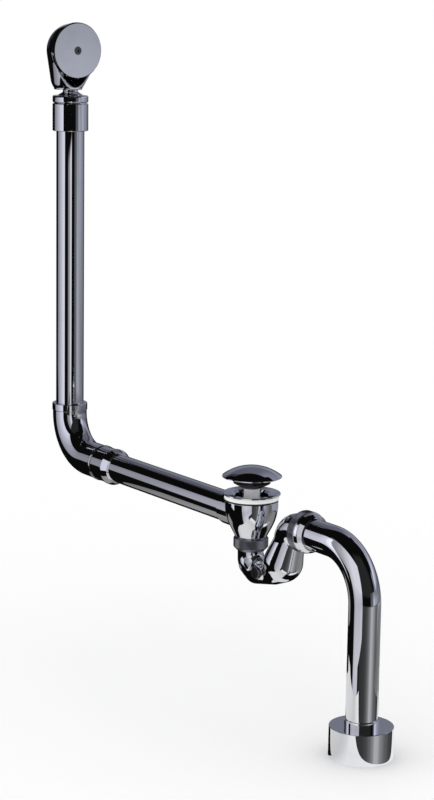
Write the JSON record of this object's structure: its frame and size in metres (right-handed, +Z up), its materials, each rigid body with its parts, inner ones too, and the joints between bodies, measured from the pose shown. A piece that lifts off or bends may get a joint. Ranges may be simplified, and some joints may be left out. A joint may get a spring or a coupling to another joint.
{
  "type": "bath waste and overflow",
  "caption": "Exposed chrome bath waste and overflow: riser with round overflow head, cross tube, sprung plug in a flange, low cast trap and an outlet tube with floor cover.",
  "frame": {"origin": "centre of the flat seat under the waste flange, where it meets the floor of the bath", "axes": "+X along the cross tube from the riser to the waste and on to the outlet, +Z up along the plug stem"},
  "size_m": [0.7232, 0.0764, 0.8313],
  "materials": {
    "chrome": "polished plate",
    "knurled_chrome": "fine straight knurl, plated",
    "black_rubber": "matte",
    "white_washer": "matte",
    "slip_ring": "matte",
    "spring_steel": "drawn wire"
  },
  "bodies": {
    "fittings": {"overflow_disc": "chrome", "disc_screw": "chrome", "overflow_head": "chrome", "riser_nut": "chrome", "riser_tube": "chrome", "elbow": "chrome", "cross_nut": "chrome", "cross_tube": "chrome", "waste_body": "chrome", "waste_flange": "chrome", "plug_guide": "chrome", "guide_nut": "chrome", "trap_body": "chrome", "cleaning_plug": "chrome", "outlet_tube": "chrome", "floor_cover": "chrome", "trap_nut": "knurled_chrome", "outlet_nut": "knurled_chrome", "overflow_gasket": "black_rubber", "riser_seal": "black_rubber", "riser_oring": "black_rubber", "cross_seal": "black_rubber", "body_washer": "black_rubber", "trap_washer": "black_rubber", "cleaning_washer": "black_rubber", "outlet_seal": "black_rubber", "flange_washer": "white_washer", "riser_slip_ring": "slip_ring", "cross_slip_ring": "slip_ring", "outlet_slip_ring": "slip_ring", "plug_spring": "spring_steel"},
    "plug": {"plug_cap": "chrome", "plug_seal": "black_rubber", "plug_stem": "chrome"}
  },
  "joints": [
    {"name": "plug_lift", "type": "slide", "parent": "fittings", "child": "plug", "axis": [0, 0, 1], "range_m": [-0.014, 0], "stiffness_N_per_m": 200, "springref_m": 0.02, "deforming": ["plug_spring"]}
  ]
}
